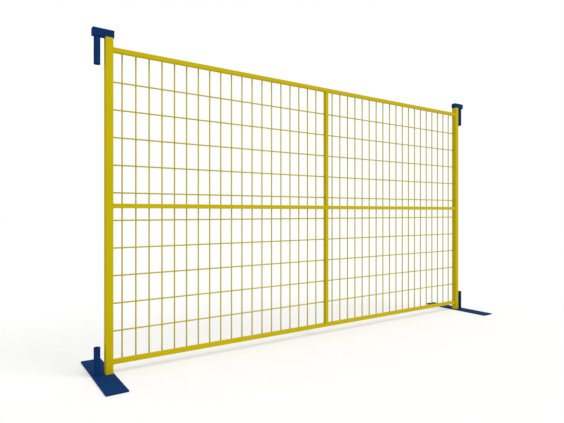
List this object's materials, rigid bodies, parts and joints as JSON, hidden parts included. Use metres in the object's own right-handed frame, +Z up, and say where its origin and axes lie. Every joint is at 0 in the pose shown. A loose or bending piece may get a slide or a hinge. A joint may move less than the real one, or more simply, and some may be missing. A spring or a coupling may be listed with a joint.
{
  "type": "welded mesh fence panel with feet and couplers",
  "caption": "Freestanding wire mesh fence panel for guarding a machine, framed in square tube, on cross feet whose pins and couplers join the next panel.",
  "frame": {"origin": "on the floor, midway between the two feet", "axes": "+X along the fence, +Y towards the side that the mesh is welded to, +Z up"},
  "size_m": [3.17, 0.6, 1.848],
  "materials": {
    "yellow_powder_coat": "satin powder coat",
    "navy_powder_coat": "satin powder coat"
  },
  "bodies": {
    "root": {"left_post": "yellow_powder_coat", "right_post": "yellow_powder_coat", "centre_post": "yellow_powder_coat", "top_rail": "yellow_powder_coat", "bottom_rail": "yellow_powder_coat", "left_mid_rail": "yellow_powder_coat", "right_mid_rail": "yellow_powder_coat", "upper_mesh": "yellow_powder_coat", "lower_mesh": "yellow_powder_coat", "left_foot_plate": "navy_powder_coat", "left_foot_pin": "navy_powder_coat", "left_foot_spare_pin": "navy_powder_coat", "right_foot_plate": "navy_powder_coat", "right_foot_pin": "navy_powder_coat", "right_foot_spare_pin": "navy_powder_coat", "left_coupler_bar": "navy_powder_coat", "left_coupler_inner_cap": "navy_powder_coat", "left_coupler_outer_cap": "navy_powder_coat", "left_coupler_pin": "navy_powder_coat", "left_coupler_spare_pin": "navy_powder_coat", "right_coupler_bar": "navy_powder_coat", "right_coupler_inner_cap": "navy_powder_coat", "right_coupler_outer_cap": "navy_powder_coat", "right_coupler_pin": "navy_powder_coat", "right_coupler_spare_pin": "navy_powder_coat"}
  },
  "joints": []
}
